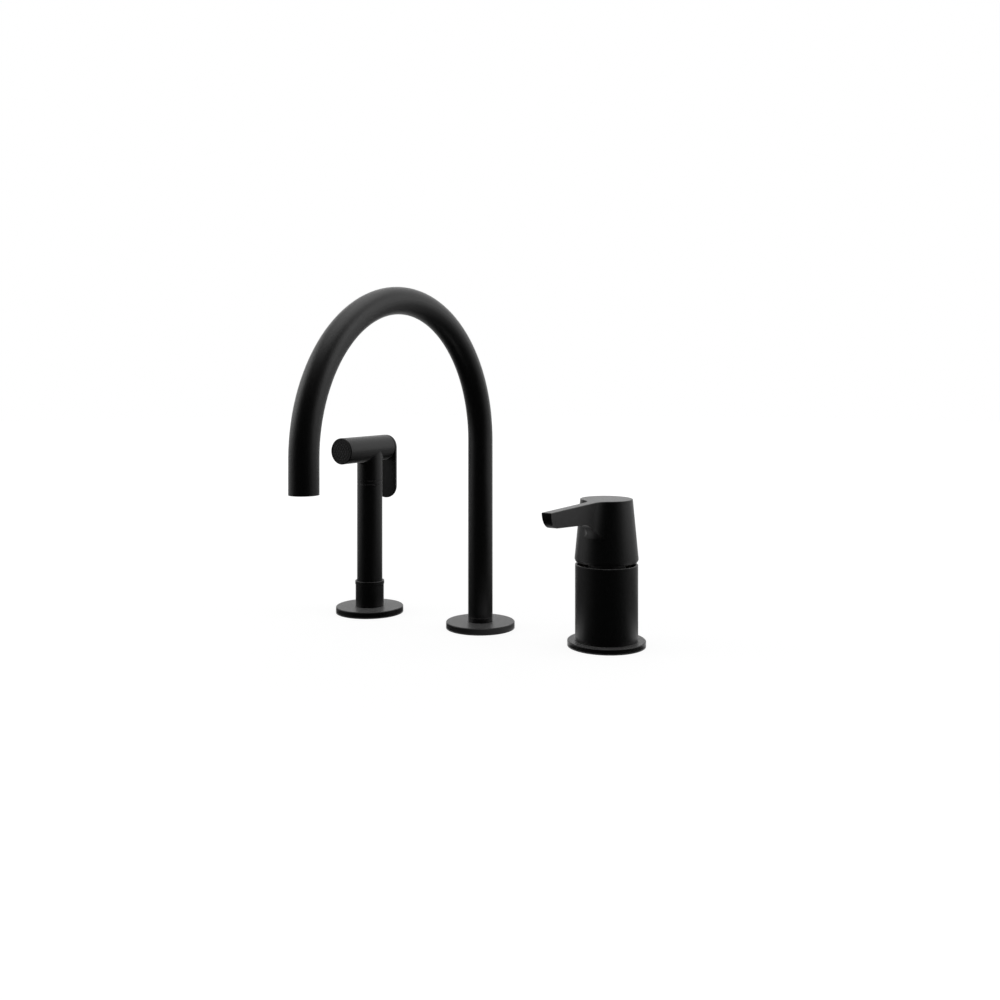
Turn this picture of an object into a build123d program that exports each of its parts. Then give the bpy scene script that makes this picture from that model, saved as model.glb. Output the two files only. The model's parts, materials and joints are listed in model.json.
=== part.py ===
from build123d import *
from math import radians, sin, cos, pi, atan2
import os

# Three-hole kitchen faucet: high round spout, side lever mixer and pull-out side spray.
# All sizes are in millimetres. The origin is on the deck's top face, on the spout's axis.
# +X runs along the row of three holes from the spray to the mixer, -Y points at the user and
# the basin, and +Z is up. Everything above z = 0 stands on the deck, the rest hangs under it.

os.makedirs("parts", exist_ok=True)

# ---------------------------------------------------------------- driving sizes
hole_pitch = 113.1            # spout axis to mixer axis, and spout axis to spray axis
mixer_x = hole_pitch
spray_x = -hole_pitch

slip = 0.05                   # gap of brazed, threaded and slip-in joints
close_gap = 0.1               # between parts that sit inside one another
free_gap = 0.2                # round heads and behind shoulders
end_gap = 0.3                 # at the ends of screwed parts
turning_gap = 0.06            # round a part that turns or slides in a bore
small_chamfer = 0.3
thread_chamfer = 0.8          # on nuts and on the ends of threads
shank_bottom = -50.0          # lower end of the three threaded shanks
clamp_top = -20.0             # where the washers park under a deck
seal_depth = 1.5              # groove for the deck gasket in each flange
flange_chamfer = 0.5

# spout
tube_radius = 10.0
tube_bore = 8.5
riser_top = 152.4             # where the straight riser turns into the arch
arch_radius = 107.8           # centreline of the half circle
outlet_drop = 23.3            # straight end below the arch
spout_flange_radius = 27.95
spout_flange_height = 5.3
neck_radius = 10.0            # fixed collar that carries the tube's line down to the flange
neck_top = 9.0
tube_foot = 9.6               # lower end of the tube, on its slide ring
spout_shank_radius = 11.0
stop_screw_height = 7.15
stop_screw_radius = 1.2
swivel_half_angle = 75.0

# mixer
mixer_flange_radius = 29.9
mixer_flange_height = 4.4
body_radius = 23.95
body_top = 62.0
mixer_shank_radius = 16.0
mixer_shank_bore = 13.4
port_radius = 4.5             # minor radius of the M10 x 1 hose threads
port_depth = 12.0
port_way_radius = 4.2         # plain way from a hose port up to the cartridge
port_circle = 7.6
water_hole = 3.0              # in the cartridge's base and its fixed disc
cartridge_floor = 26.0
cartridge_radius = 17.4
recess_floor = 55.5           # the cap's skirt dips in here when the lever is lifted
recess_radius = 22.5
dome_radius = 14.3            # slim upper part of the cartridge
tilt_height = 77.0            # axis of the lever's lift
tilt_arm = 15.0               # from the lift axis down to the ball of the stem
disc_offset = 2.6             # moving disc off centre when the tap is closed
stem_pin_radius = 1.5
pin_fit = 0.02                # round a pressed pin
pin_play = 0.04               # round a pin that its part turns on

# cap and lever
cap_rim = 64.3
cap_rim_radius = 23.5
cap_shoulder = 66.1
cap_shoulder_radius = 24.36
cap_top = 111.7
cap_top_radius = 20.0
lever_length = 96.2
lever_half_width = 3.8        # at the top
lever_draft = 0.04            # narrowing of each side, per mm downwards
lever_blend = 13.0            # fillet from the lever's sides to the cap
lever_nose = 11.0            # rounding of the nose, seen from the side
scoop_radius = 28.2           # round under the root of the lever, swept about the body's axis
scoop_reach = 46.5
scoop_height = 68.9
underside_slope = 0.07

# spray
spray_flange_radius = 29.0
spray_flange_height = 5.46
holder_radius = 12.15
holder_lip_radius = 12.5
holder_lip = 24.7
holder_top = 27.6
spray_shank_radius = 13.5
handle_radius = 10.9
handle_bore = 9.1
handle_bottom = 26.0
ring_bottom = 111.1
ring_top = 114.4
head_radius = 11.07
head_bore = 9.6
head_height = 141.5
head_front = -36.4
head_back = 21.7
face_front = -38.9
inlet_radius = 7.5            # M15 x 1 thread for the hose
inlet_bottom = -6.0
trigger_front = 22.5
trigger_back = 25.2
trigger_radius = 10.92
trigger_bottom = 96.8
pivot_height = 136.0
pivot_depth = 19.5
pivot_radius = 1.0
valve_stem_radius = 1.3


# Plane through the vertical axis at x: first direction +X, second direction +Z.
def upright(x):
    return Plane(origin=(x, 0, 0), x_dir=(1, 0, 0), z_dir=(0, -1, 0))


# Horizontal plane at height z, centred on the vertical axis at x.
def level(x, z):
    return Plane(origin=(x, 0, z))


# Plane square to Y: first direction +X, second direction +Z, normal -Y.
def facing(x, y, z):
    return Plane(origin=(x, y, z), x_dir=(1, 0, 0), z_dir=(0, -1, 0))


# Plane square to Y with its normal towards the back, +Y.
def back_plane(x, y, z):
    return Plane(origin=(x, y, z), x_dir=(1, 0, 0), z_dir=(0, 1, 0))


# Solid of revolution about the vertical axis at x from (radius, height) corners.
def turned(x, outline):
    with BuildPart() as solid:
        with BuildSketch(upright(x)):
            with BuildLine():
                Polyline(*outline, close=True)
            make_face()
        revolve(axis=Axis((x, 0, 0), (0, 0, 1)))
    return solid


# Solid of revolution about the spray head's own axis from (radius, Y) corners.
def turned_across(outline):
    with BuildPart() as solid:
        with BuildSketch(level(spray_x, head_height)):
            with BuildLine():
                Polyline(*outline, close=True)
            make_face()
        revolve(axis=Axis((spray_x, 0, head_height), (0, 1, 0)))
    return solid


# Plain ring on the vertical axis at x.
def washer(x, outer, inner, bottom, top):
    with BuildPart() as ring:
        with BuildSketch(level(x, bottom)):
            Circle(outer)
            Circle(inner, mode=Mode.SUBTRACT)
        extrude(amount=top - bottom)
    return ring


# ---------------------------------------------------------------- clamping sets under the deck
clamp_sets = {
    "spout": (0.0, spout_shank_radius, 22.0, 34.0),
    "mixer": (mixer_x, mixer_shank_radius, 28.0, 46.0),
    "spray": (spray_x, spray_shank_radius, 25.0, 40.0),
}
rubber_thickness = 2.0
steel_thickness = 1.5
nut_thickness = 8.0
washer_play = 0.4

for unit, (unit_x, shank_radius, washer_radius, nut_across_flats) in clamp_sets.items():
    rubber_bottom = clamp_top - rubber_thickness
    steel_bottom = rubber_bottom - steel_thickness

    rubber_washer = washer(unit_x, washer_radius, shank_radius + washer_play, rubber_bottom, clamp_top)
    rubber_washer.part.label = f"{unit}_rubber_washer"
    export_step(rubber_washer.part, f"parts/{unit}_rubber_washer.step")

    steel_washer = washer(unit_x, washer_radius, shank_radius + washer_play, steel_bottom, rubber_bottom)
    steel_washer.part.label = f"{unit}_steel_washer"
    export_step(steel_washer.part, f"parts/{unit}_steel_washer.step")

    with BuildPart() as mounting_nut:
        with BuildSketch(level(unit_x, steel_bottom - nut_thickness)):
            RegularPolygon(nut_across_flats / 2, 6, major_radius=False)
            Circle(shank_radius + slip, mode=Mode.SUBTRACT)
        extrude(amount=nut_thickness)
        nut_edges = mounting_nut.edges().filter_by(GeomType.LINE).group_by(Axis.Z)
        chamfer(nut_edges[0], thread_chamfer)
    mounting_nut.part.label = f"{unit}_mounting_nut"
    export_step(mounting_nut.part, f"parts/{unit}_mounting_nut.step")

# ---------------------------------------------------------------- flanges and their gaskets
# for each unit: its axis, then the outer and the inner radius of the groove
gaskets = {
    "spout": (0.0, 25.2, 18.8),
    "mixer": (mixer_x, 26.8, 19.2),
    "spray": (spray_x, 26.2, 19.8),
}
for unit, (unit_x, gasket_outer, gasket_inner) in gaskets.items():
    deck_gasket = washer(
        unit_x, gasket_outer - close_gap, gasket_inner + close_gap, 0.0, seal_depth - slip)
    deck_gasket.part.label = f"{unit}_deck_gasket"
    export_step(deck_gasket.part, f"parts/{unit}_deck_gasket.step")

head_seat = 3.3               # depth of the recess over the head of a shank
spout_shank_head = 16.2
spray_shank_head = 18.0
# for each unit: axis, outer radius, height, radius of the hole, radius of the recess
flanges = {
    "spout": (0.0, spout_flange_radius, spout_flange_height,
              neck_radius + close_gap, spout_shank_head + free_gap),
    "mixer": (mixer_x, mixer_flange_radius, mixer_flange_height,
              mixer_shank_radius + free_gap, 0.0),
    "spray": (spray_x, spray_flange_radius, spray_flange_height,
              holder_radius + close_gap, spray_shank_head + free_gap),
}
for unit, (unit_x, outer, height, hole, recess) in flanges.items():
    with BuildPart() as flange:
        with BuildSketch(level(unit_x, 0)):
            Circle(outer)
        extrude(amount=height)
        chamfer(flange.edges().group_by(Axis.Z)[-1], flange_chamfer)
        with BuildSketch(level(unit_x, 0)):
            Circle(hole)
        extrude(amount=height, mode=Mode.SUBTRACT)
        if recess > 0:
            with BuildSketch(level(unit_x, 0)):
                Circle(recess)
            extrude(amount=head_seat, mode=Mode.SUBTRACT)
        with BuildSketch(level(unit_x, 0)):
            Circle(gaskets[unit][1])
            Circle(gaskets[unit][2], mode=Mode.SUBTRACT)
        extrude(amount=seal_depth, mode=Mode.SUBTRACT)
    flange.part.label = f"{unit}_flange"
    export_step(flange.part, f"parts/{unit}_flange.step")

# ---------------------------------------------------------------- spout: fixed shank
foot_radius = 8.45            # of the swivelling foot
shank_bore = 8.5

collar_base_radius = 12.5
collar_seat = 2.0             # top of the shank's head inside the collar's base

inlet_thread_radius = 7.5     # G3/8 hose thread in the lower end
inlet_thread_top = shank_bottom + 14.0

spout_shank = turned(0, [
    (inlet_thread_radius, shank_bottom),
    (spout_shank_radius - thread_chamfer, shank_bottom),
    (spout_shank_radius, shank_bottom + thread_chamfer),
    (spout_shank_radius, 0),
    (spout_shank_head, 0),
    (spout_shank_head, head_seat - close_gap),
    (collar_base_radius + close_gap, head_seat - close_gap),
    (collar_base_radius + close_gap, collar_seat),
    (shank_bore, collar_seat),
    (shank_bore, inlet_thread_top),
    (inlet_thread_radius, inlet_thread_top),
])
spout_shank.part.label = "spout_shank"
export_step(spout_shank.part, "parts/spout_shank.step")

# the collar's base is trapped between the shank's head and the flange
with BuildPart() as spout_collar:
    with BuildSketch(upright(0)):
        with BuildLine():
            Polyline(
                (foot_radius + turning_gap, collar_seat + slip),
                (collar_base_radius, collar_seat + slip),
                (collar_base_radius, head_seat - slip),
                (neck_radius, head_seat - slip),
                (neck_radius, neck_top),
                (foot_radius + turning_gap, neck_top),
                close=True,
            )
        make_face()
    revolve(axis=Axis.Z)
    with BuildSketch(back_plane(0, 0, stop_screw_height)):
        Circle(stop_screw_radius + slip)
    extrude(amount=neck_radius + 1, mode=Mode.SUBTRACT)
spout_collar.part.label = "spout_collar"
export_step(spout_collar.part, "parts/spout_collar.step")

# slide ring between the collar and the tube, a hair inside both
spout_bearing_ring = washer(
    0, tube_radius - close_gap, foot_radius + close_gap, neck_top + slip, tube_foot - slip)
spout_bearing_ring.part.label = "spout_bearing_ring"
export_step(spout_bearing_ring.part, "parts/spout_bearing_ring.step")

stop_groove_radius = 7.2
screw_tip = 7.5
screw_face = neck_radius - 0.15
stop_key_radius = 0.65        # hexagon socket
stop_key_depth = 1.1
with BuildPart() as spout_stop_screw:
    with BuildSketch(back_plane(0, screw_tip, stop_screw_height)):
        Circle(stop_screw_radius)
    extrude(amount=screw_face - screw_tip)
    with BuildSketch(back_plane(0, screw_face, stop_screw_height)):
        RegularPolygon(stop_key_radius, 6)
    extrude(amount=-stop_key_depth, mode=Mode.SUBTRACT)
spout_stop_screw.part.label = "spout_stop_screw"
export_step(spout_stop_screw.part, "parts/spout_stop_screw.step")

# ---------------------------------------------------------------- spout: swivelling tube
with BuildPart() as spout_tube:
    with BuildLine():
        riser = Line((0, 0, tube_foot), (0, 0, riser_top))
        arch = ThreePointArc(
            (0, 0, riser_top),
            (0, -arch_radius, riser_top + arch_radius),
            (0, -2 * arch_radius, riser_top),
        )
        Line(arch @ 1, (0, -2 * arch_radius, riser_top - outlet_drop))
    with BuildSketch(Plane.XY.offset(tube_foot)):
        Circle(tube_radius)
        Circle(tube_bore, mode=Mode.SUBTRACT)
    sweep()
spout_tube.part.label = "spout_tube"
export_step(spout_tube.part, "parts/spout_tube.step")

outlet_y = -2 * arch_radius
outlet_z = riser_top - outlet_drop
groove_heights = (-10.0, -16.0)
ring_section = 1.8
groove_depth = 1.85
foot_bore = 6.0
foot_bottom = -24.0
foot_chamfer = 0.5
braze_top = 28.0              # the foot reaches this far up inside the tube
slot_outer = 13.0
slot_half_height = 1.5
screw_half_angle = 11.0       # what the stop screw's own width takes of the slot

with BuildPart() as spout_foot:
    with BuildSketch(upright(0)):
        with BuildLine():
            Polyline(
                (foot_bore, foot_bottom),
                (foot_radius - foot_chamfer, foot_bottom),
                (foot_radius, foot_bottom + foot_chamfer),
                (foot_radius, braze_top),
                (foot_bore, braze_top),
                close=True,
            )
        make_face()
        for groove_height in groove_heights:
            with Locations((foot_radius, groove_height)):
                Rectangle(2 * groove_depth, ring_section + end_gap, mode=Mode.SUBTRACT)
    revolve(axis=Axis.Z)
    # slot for the stop screw, open over the swivel range and the screw's own width
    slot_half = radians(swivel_half_angle + screw_half_angle)
    with BuildSketch(Plane.XY.offset(stop_screw_height - slot_half_height)):
        with BuildLine():
            outer_arc = ThreePointArc(
                (-slot_outer * sin(slot_half), slot_outer * cos(slot_half)),
                (0, slot_outer),
                (slot_outer * sin(slot_half), slot_outer * cos(slot_half)),
            )
            Line(outer_arc @ 1, (stop_groove_radius * sin(slot_half), stop_groove_radius * cos(slot_half)))
            inner_arc = ThreePointArc(
                (stop_groove_radius * sin(slot_half), stop_groove_radius * cos(slot_half)),
                (0, stop_groove_radius),
                (-stop_groove_radius * sin(slot_half), stop_groove_radius * cos(slot_half)),
            )
            Line(inner_arc @ 1, outer_arc @ 0)
        make_face()
    extrude(amount=2 * slot_half_height, mode=Mode.SUBTRACT)
spout_foot.part.label = "spout_foot"
export_step(spout_foot.part, "parts/spout_foot.step")

with BuildPart() as spout_orings:
    for groove_height in groove_heights:
        with BuildSketch(upright(0)):
            with Locations((foot_radius - ring_section / 2, groove_height)):
                Circle(ring_section / 2)
        revolve(axis=Axis.Z)
spout_orings.part.label = "spout_orings"
export_step(spout_orings.part, "parts/spout_orings.step")

# aerator, screwed into the end of the tube
aerator_recess = 0.8
aerator_bottom = outlet_z + aerator_recess
aerator_top = outlet_z + 11.0
aerator_lip_radius = 6.9
aerator_lip_top = outlet_z + 2.6
aerator_bore = 7.4
outlet_axis = Axis((0, outlet_y, 0), (0, 0, 1))
with BuildPart() as aerator_housing:
    with BuildSketch(Plane(origin=(0, outlet_y, 0), x_dir=(1, 0, 0), z_dir=(0, -1, 0))):
        with BuildLine():
            Polyline(
                (aerator_lip_radius, aerator_bottom),
                (tube_bore - slip - small_chamfer, aerator_bottom),
                (tube_bore - slip, aerator_bottom + small_chamfer),
                (tube_bore - slip, aerator_top),
                (aerator_bore, aerator_top),
                (aerator_bore, aerator_lip_top),
                (aerator_lip_radius, aerator_lip_top),
                close=True,
            )
        make_face()
    revolve(axis=outlet_axis)
aerator_housing.part.label = "aerator_housing"
export_step(aerator_housing.part, "parts/aerator_housing.step")

aerator_floor = aerator_lip_top + close_gap
insert_radius = aerator_bore - close_gap
insert_bore = 6.0
insert_height = 7.5
mesh_thickness = 1.5
mesh_pitch = 1.7
mesh_hole = 1.2
mesh_places = [
    (mesh_pitch * column, mesh_pitch * row)
    for column in range(-3, 4)
    for row in range(-3, 4)
    if column ** 2 + row ** 2 < 14
]
with BuildPart() as aerator_insert:
    with BuildSketch(level(0, aerator_floor)):
        with Locations((0, outlet_y)):
            Circle(insert_radius)
    extrude(amount=insert_height)
    with BuildSketch(level(0, aerator_floor + mesh_thickness)):
        with Locations((0, outlet_y)):
            Circle(insert_bore)
    extrude(amount=insert_height - mesh_thickness, mode=Mode.SUBTRACT)
    with BuildSketch(Plane(origin=(0, outlet_y, aerator_floor))):
        with Locations(*mesh_places):
            Rectangle(mesh_hole, mesh_hole)
    extrude(amount=mesh_thickness, mode=Mode.SUBTRACT)
aerator_insert.part.label = "aerator_insert"
export_step(aerator_insert.part, "parts/aerator_insert.step")

aerator_seal_bore = 6.2
aerator_seal_thickness = 1.5
with BuildPart() as aerator_seal:
    with BuildSketch(Plane(origin=(0, outlet_y, aerator_top))):
        Circle(tube_bore - close_gap)
        Circle(aerator_seal_bore, mode=Mode.SUBTRACT)
    extrude(amount=aerator_seal_thickness)
aerator_seal.part.label = "aerator_seal"
export_step(aerator_seal.part, "parts/aerator_seal.step")

# ---------------------------------------------------------------- mixer: body and shank
body_axis = Axis((mixer_x, 0, 0), (0, 0, 1))
port_angles = {"hot": 150.0, "cold": 30.0, "outlet": 270.0}
port_places = [
    (port_circle * cos(radians(angle)), port_circle * sin(radians(angle)))
    for angle in port_angles.values()
]
shank_socket = 10.0           # how far the shank reaches into the body
nut_bore_radius = 18.4
nut_seat = 50.0

with BuildPart() as mixer_body:
    with BuildSketch(upright(mixer_x)):
        with BuildLine():
            Polyline(
                (0, mixer_flange_height),
                (mixer_shank_bore, mixer_flange_height),
                (mixer_shank_bore, mixer_flange_height + shank_socket),
                (mixer_shank_radius + slip, mixer_flange_height + shank_socket),
                (mixer_shank_radius + slip, mixer_flange_height),
                (body_radius, mixer_flange_height),
                (body_radius, body_top - small_chamfer),
                (body_radius - small_chamfer, body_top),
                (recess_radius + small_chamfer, body_top),
                (recess_radius, body_top - 2 * small_chamfer),
                (recess_radius, recess_floor),
                (nut_bore_radius, recess_floor),
                (nut_bore_radius, nut_seat),
                (cartridge_radius + close_gap, nut_seat),
                (cartridge_radius + close_gap, cartridge_floor),
                (0, cartridge_floor),
                close=True,
            )
        make_face()
    revolve(axis=body_axis)
    with BuildSketch(level(mixer_x, mixer_flange_height)):
        with Locations(*port_places):
            Circle(port_radius)
    extrude(amount=port_depth, mode=Mode.SUBTRACT)
    with BuildSketch(level(mixer_x, mixer_flange_height)):
        with Locations(*port_places):
            Circle(port_way_radius)
    extrude(amount=cartridge_floor - mixer_flange_height, mode=Mode.SUBTRACT)
mixer_body.part.label = "mixer_body"
export_step(mixer_body.part, "parts/mixer_body.step")

with BuildPart() as mixer_shank:
    with BuildSketch(level(mixer_x, shank_bottom)):
        Circle(mixer_shank_radius)
        Circle(mixer_shank_bore + slip, mode=Mode.SUBTRACT)
    extrude(amount=mixer_flange_height + shank_socket - slip - shank_bottom)
    chamfer(mixer_shank.edges().group_by(Axis.Z)[0].sort_by(SortBy.RADIUS)[-1], thread_chamfer)
mixer_shank.part.label = "mixer_shank"
export_step(mixer_shank.part, "parts/mixer_shank.step")

# ---------------------------------------------------------------- mixer: cartridge
base_top = 31.0
fixed_disc_top = 37.0
moving_disc_top = 41.0
skirt_top = 46.0
shoulder_top = 49.0
chamber_radius = 15.6
dome_bore = 12.9
dome_top = 72.0
lip_top = 73.5
lip_bore = 11.2
port_seal_outer = 5.4         # rings round the ports, between the body and the cartridge
port_seal_inner = 4.4
port_seal_height = 1.1

with BuildPart() as cartridge_base:
    with BuildSketch(level(mixer_x, cartridge_floor + slip)):
        Circle(cartridge_radius)
        with Locations(*port_places):
            Circle(water_hole, mode=Mode.SUBTRACT)
    extrude(amount=base_top - cartridge_floor - slip)
    with BuildSketch(level(mixer_x, cartridge_floor + slip)):
        with Locations(*port_places):
            Circle(port_seal_outer + close_gap)
            Circle(port_seal_inner - close_gap, mode=Mode.SUBTRACT)
    extrude(amount=port_seal_height, mode=Mode.SUBTRACT)
cartridge_base.part.label = "cartridge_base"
export_step(cartridge_base.part, "parts/cartridge_base.step")

with BuildPart() as cartridge_seals:
    with BuildSketch(level(mixer_x, cartridge_floor)):
        with Locations(*port_places):
            Circle(port_seal_outer)
            Circle(port_seal_inner, mode=Mode.SUBTRACT)
    extrude(amount=port_seal_height)
cartridge_seals.part.label = "cartridge_seals"
export_step(cartridge_seals.part, "parts/cartridge_seals.step")

with BuildPart() as fixed_disc:
    with BuildSketch(level(mixer_x, base_top)):
        Circle(chamber_radius - close_gap)
        with Locations(*port_places):
            Circle(water_hole, mode=Mode.SUBTRACT)
    extrude(amount=fixed_disc_top - base_top)
fixed_disc.part.label = "fixed_disc"
export_step(fixed_disc.part, "parts/fixed_disc.step")

moving_disc_radius = 12.4
mixing_slot_length = 15.0
mixing_slot_width = 8.0
mixing_slot_depth = 2.4
with BuildPart() as moving_disc:
    with BuildSketch(Plane(origin=(mixer_x, disc_offset, fixed_disc_top + slip))):
        Circle(moving_disc_radius)
    extrude(amount=moving_disc_top - fixed_disc_top - slip)
    with BuildSketch(Plane(origin=(mixer_x, disc_offset, fixed_disc_top + slip))):
        SlotOverall(mixing_slot_length, mixing_slot_width)
    extrude(amount=mixing_slot_depth, mode=Mode.SUBTRACT)
moving_disc.part.label = "moving_disc"
export_step(moving_disc.part, "parts/moving_disc.step")

carrier_radius = 12.0
carrier_plate_top = skirt_top - 0.5
carrier_post_radius = 5.5
carrier_top = 65.0
ball_socket_radius = 3.3
ball_socket_floor = 57.0
with BuildPart() as disc_carrier:
    with BuildSketch(Plane(origin=(mixer_x, disc_offset, moving_disc_top))):
        Circle(carrier_radius)
    extrude(amount=carrier_plate_top - moving_disc_top)
    with BuildSketch(level(mixer_x, carrier_plate_top)):
        Circle(carrier_post_radius)
    extrude(amount=carrier_top - carrier_plate_top)
    with BuildSketch(level(mixer_x, ball_socket_floor)):
        Circle(ball_socket_radius)
    extrude(amount=carrier_top - ball_socket_floor, mode=Mode.SUBTRACT)
disc_carrier.part.label = "disc_carrier"
export_step(disc_carrier.part, "parts/disc_carrier.step")

cartridge_housing = turned(mixer_x, [
    (chamber_radius, base_top),
    (cartridge_radius, base_top),
    (cartridge_radius, shoulder_top),
    (dome_radius, shoulder_top),
    (dome_radius, lip_top),
    (lip_bore, lip_top),
    (lip_bore, dome_top),
    (dome_bore, dome_top),
    (dome_bore, skirt_top),
    (chamber_radius, skirt_top),
])
cartridge_housing.part.label = "cartridge_housing"
export_step(cartridge_housing.part, "parts/cartridge_housing.step")

cartridge_nut_top = recess_floor - end_gap
key_slot_length = 3.2
key_slot_width = 3.0
key_slot_depth = 2.0
with BuildPart() as cartridge_nut:
    with BuildSketch(level(mixer_x, nut_seat)):
        Circle(nut_bore_radius - slip)
        Circle(dome_radius + end_gap, mode=Mode.SUBTRACT)
    extrude(amount=cartridge_nut_top - nut_seat)
    with BuildSketch(level(mixer_x, cartridge_nut_top)):
        with PolarLocations(nut_bore_radius, 4):
            Rectangle(key_slot_length, key_slot_width)
    extrude(amount=-key_slot_depth, mode=Mode.SUBTRACT)
cartridge_nut.part.label = "cartridge_nut"
export_step(cartridge_nut.part, "parts/cartridge_nut.step")

turret_bottom = 66.0
turret_top = 82.0
turret_play = 0.08
stem_slot_width = 6.6
stem_slot_length = 17.0
pin_half = 10.2
cross_reach = 14.0            # the pin's bore is cut this far each side of the axis
with BuildPart() as cartridge_turret:
    with BuildSketch(level(mixer_x, turret_bottom)):
        Circle(dome_bore - turret_play)
    extrude(amount=dome_top - turret_play - turret_bottom)
    with BuildSketch(level(mixer_x, turret_bottom)):
        Circle(lip_bore - close_gap)
    extrude(amount=turret_top - turret_bottom)
    with BuildSketch(level(mixer_x, turret_bottom)):
        Rectangle(stem_slot_width, stem_slot_length)
    extrude(amount=turret_top - turret_bottom, mode=Mode.SUBTRACT)
    with BuildSketch(Plane(origin=(mixer_x - cross_reach, 0, tilt_height),
                           x_dir=(0, 1, 0), z_dir=(1, 0, 0))):
        Circle(stem_pin_radius + pin_fit)
    extrude(amount=2 * cross_reach, mode=Mode.SUBTRACT)
cartridge_turret.part.label = "cartridge_turret"
export_step(cartridge_turret.part, "parts/cartridge_turret.step")

with BuildPart() as stem_pin:
    with BuildSketch(Plane(origin=(mixer_x - pin_half, 0, tilt_height),
                           x_dir=(0, 1, 0), z_dir=(1, 0, 0))):
        Circle(stem_pin_radius)
    extrude(amount=2 * pin_half)
stem_pin.part.label = "stem_pin"
export_step(stem_pin.part, "parts/stem_pin.step")

boss_bottom = 88.0
cavity_top = 98.0
square_top = 97.0
square_half = 3.0
hub_half = 5.0                # half the height of the stem's flat hub
hub_thickness = 6.0
hub_depth = 8.0
stem_neck_radius = 2.2
stem_ball_radius = 3.0
with BuildPart() as cartridge_stem:
    with BuildSketch(level(mixer_x, tilt_height - hub_half)):
        Rectangle(hub_thickness, hub_depth)
    extrude(amount=2 * hub_half)
    with BuildSketch(level(mixer_x, tilt_height + hub_half)):
        Rectangle(2 * square_half, 2 * square_half)
    extrude(amount=square_top - tilt_height - hub_half)
    with BuildSketch(level(mixer_x, tilt_height - tilt_arm)):
        Circle(stem_neck_radius)
    extrude(amount=tilt_arm - hub_half)
    with Locations((mixer_x, 0, tilt_height - tilt_arm)):
        Sphere(stem_ball_radius)
    with BuildSketch(Plane(origin=(mixer_x - hub_half, 0, tilt_height),
                           x_dir=(0, 1, 0), z_dir=(1, 0, 0))):
        Circle(stem_pin_radius + pin_play)
    extrude(amount=2 * hub_half, mode=Mode.SUBTRACT)
cartridge_stem.part.label = "cartridge_stem"
export_step(cartridge_stem.part, "parts/cartridge_stem.step")

# ---------------------------------------------------------------- mixer: cap with its lever
set_screw_height = 92.5
set_screw_radius = 2.5
top_rounding = 0.5
cavity_rim_radius = 21.3
cavity_top_radius = 17.5
boss_radius = 8.0
slope_angle = atan2(underside_slope, 1.0)
scoop_turn = radians(35)      # a point half way up the round
past_nose = lever_length + 20
cut_floor = 40.0
scoop_end = (
    scoop_reach - scoop_radius * sin(slope_angle),
    scoop_height + scoop_radius * cos(slope_angle),
)
scoop_middle = (
    scoop_reach - scoop_radius * cos(scoop_turn),
    scoop_height + scoop_radius * sin(scoop_turn),
)
scoop_low = (scoop_reach - scoop_radius, scoop_height)

with BuildPart() as cap_cone:
    with BuildSketch(upright(mixer_x)):
        with BuildLine():
            Polyline(
                (0, cap_rim),
                (cap_rim_radius, cap_rim),
                (cap_shoulder_radius, cap_shoulder),
                (cap_top_radius, cap_top),
                (0, cap_top),
                close=True,
            )
        make_face()
    revolve(axis=body_axis)

with BuildPart() as below_lever:
    with BuildSketch(upright(mixer_x)):
        with BuildLine():
            under = Line(
                scoop_end,
                (past_nose, scoop_end[1] + underside_slope * (past_nose - scoop_end[0])),
            )
            Polyline(under @ 1, (past_nose, cut_floor), (scoop_low[0], cut_floor), scoop_low)
            ThreePointArc(scoop_low, scoop_middle, scoop_end)
        make_face()
    revolve(axis=body_axis)
    add(cap_cone.part, mode=Mode.SUBTRACT)

foot_half_width = lever_half_width - lever_draft * (cap_top - cap_shoulder)
with BuildPart() as lever_cap:
    add(cap_cone.part)
    with BuildSketch(upright(mixer_x)):
        with BuildLine():
            Polyline(
                (-foot_half_width, cap_shoulder),
                (foot_half_width, cap_shoulder),
                (lever_half_width, cap_top),
                (-lever_half_width, cap_top),
                close=True,
            )
        make_face()
    extrude(amount=lever_length)
    blend_edges = [
        edge
        for edge in lever_cap.edges().filter_by_position(Axis.Y, -30, -10)
        if foot_half_width < abs(edge.center().X - mixer_x) < lever_half_width and edge.length > 30
    ]
    fillet(blend_edges, lever_blend)
    add(below_lever.part, mode=Mode.SUBTRACT)
    nose_edge = lever_cap.edges().group_by(Axis.Y)[0].sort_by(Axis.Z)[0]
    fillet(nose_edge, lever_nose)
    fillet(lever_cap.edges().group_by(Axis.Z)[-1], top_rounding)
    # hollow that clears the cartridge while the lever is lifted, round a central boss
    with BuildSketch(upright(mixer_x)):
        with BuildLine():
            Polyline(
                (0, cap_rim),
                (cavity_rim_radius, cap_rim),
                (cavity_top_radius, cavity_top),
                (boss_radius, cavity_top),
                (boss_radius, boss_bottom),
                (0, boss_bottom),
                close=True,
            )
        make_face()
    revolve(axis=body_axis, mode=Mode.SUBTRACT)
    with BuildSketch(level(mixer_x, boss_bottom)):
        Rectangle(2 * square_half + close_gap, 2 * square_half + close_gap)
    extrude(amount=square_top + end_gap - boss_bottom, mode=Mode.SUBTRACT)
    with BuildSketch(back_plane(mixer_x, 0, set_screw_height)):
        Circle(set_screw_radius + slip)
    extrude(amount=30, mode=Mode.SUBTRACT)
lever_cap.part.label = "lever_cap"
export_step(lever_cap.part, "parts/lever_cap.step")

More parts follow.
